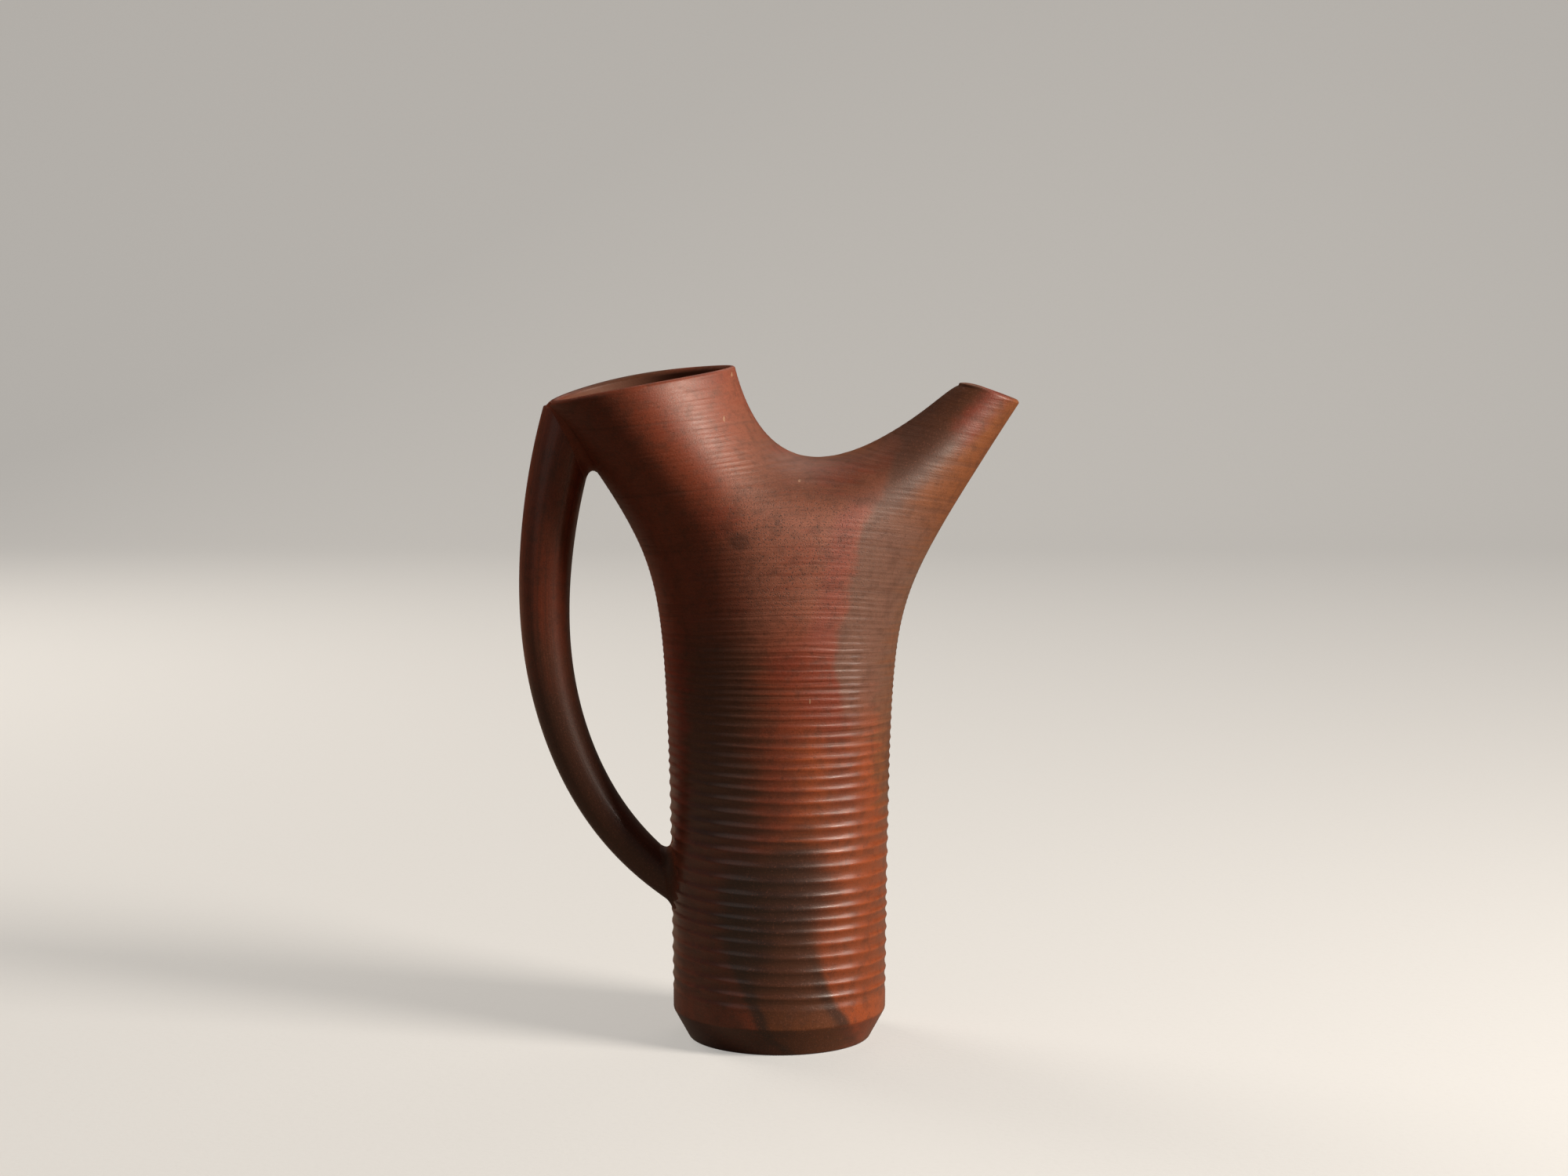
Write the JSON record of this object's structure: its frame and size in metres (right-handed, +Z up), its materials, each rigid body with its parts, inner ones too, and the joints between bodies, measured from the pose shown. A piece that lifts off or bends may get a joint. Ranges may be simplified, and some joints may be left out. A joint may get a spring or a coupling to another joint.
{
  "type": "jug",
  "caption": "Tall stoneware jug: a ribbed thrown body that forks into a wide leaning filling neck and a tapered pouring spout, with a pulled handle from neck to body.",
  "frame": {"origin": "centre of the flat foot, on the throwing axis, at the surface that the jug stands on", "axes": "+Z up along the throwing axis, +X towards the spout, -X towards the handle; the jug is the same on both sides of the XZ plane"},
  "size_m": [0.2202, 0.101, 0.2994],
  "materials": {
    "body_clay": "wood-fired satin stoneware, red-brown with orange and dark flashing",
    "foot_clay": "turned satin stoneware, dark red-brown",
    "spout_clay": "satin stoneware, grey-brown with ochre underneath",
    "handle_clay": "satin stoneware, dark reddish brown",
    "luting_slip": "fired slip, paler and duller than the clay"
  },
  "bodies": {
    "root": {"base": "foot_clay", "base_luting": "luting_slip", "body": "body_clay", "body_luting": "luting_slip", "fork": "body_clay", "neck_luting": "luting_slip", "neck": "body_clay", "spout_luting": "luting_slip", "spout": "spout_clay", "handle": "handle_clay", "handle_upper_luting": "luting_slip", "handle_lower_luting": "luting_slip"}
  },
  "joints": []
}
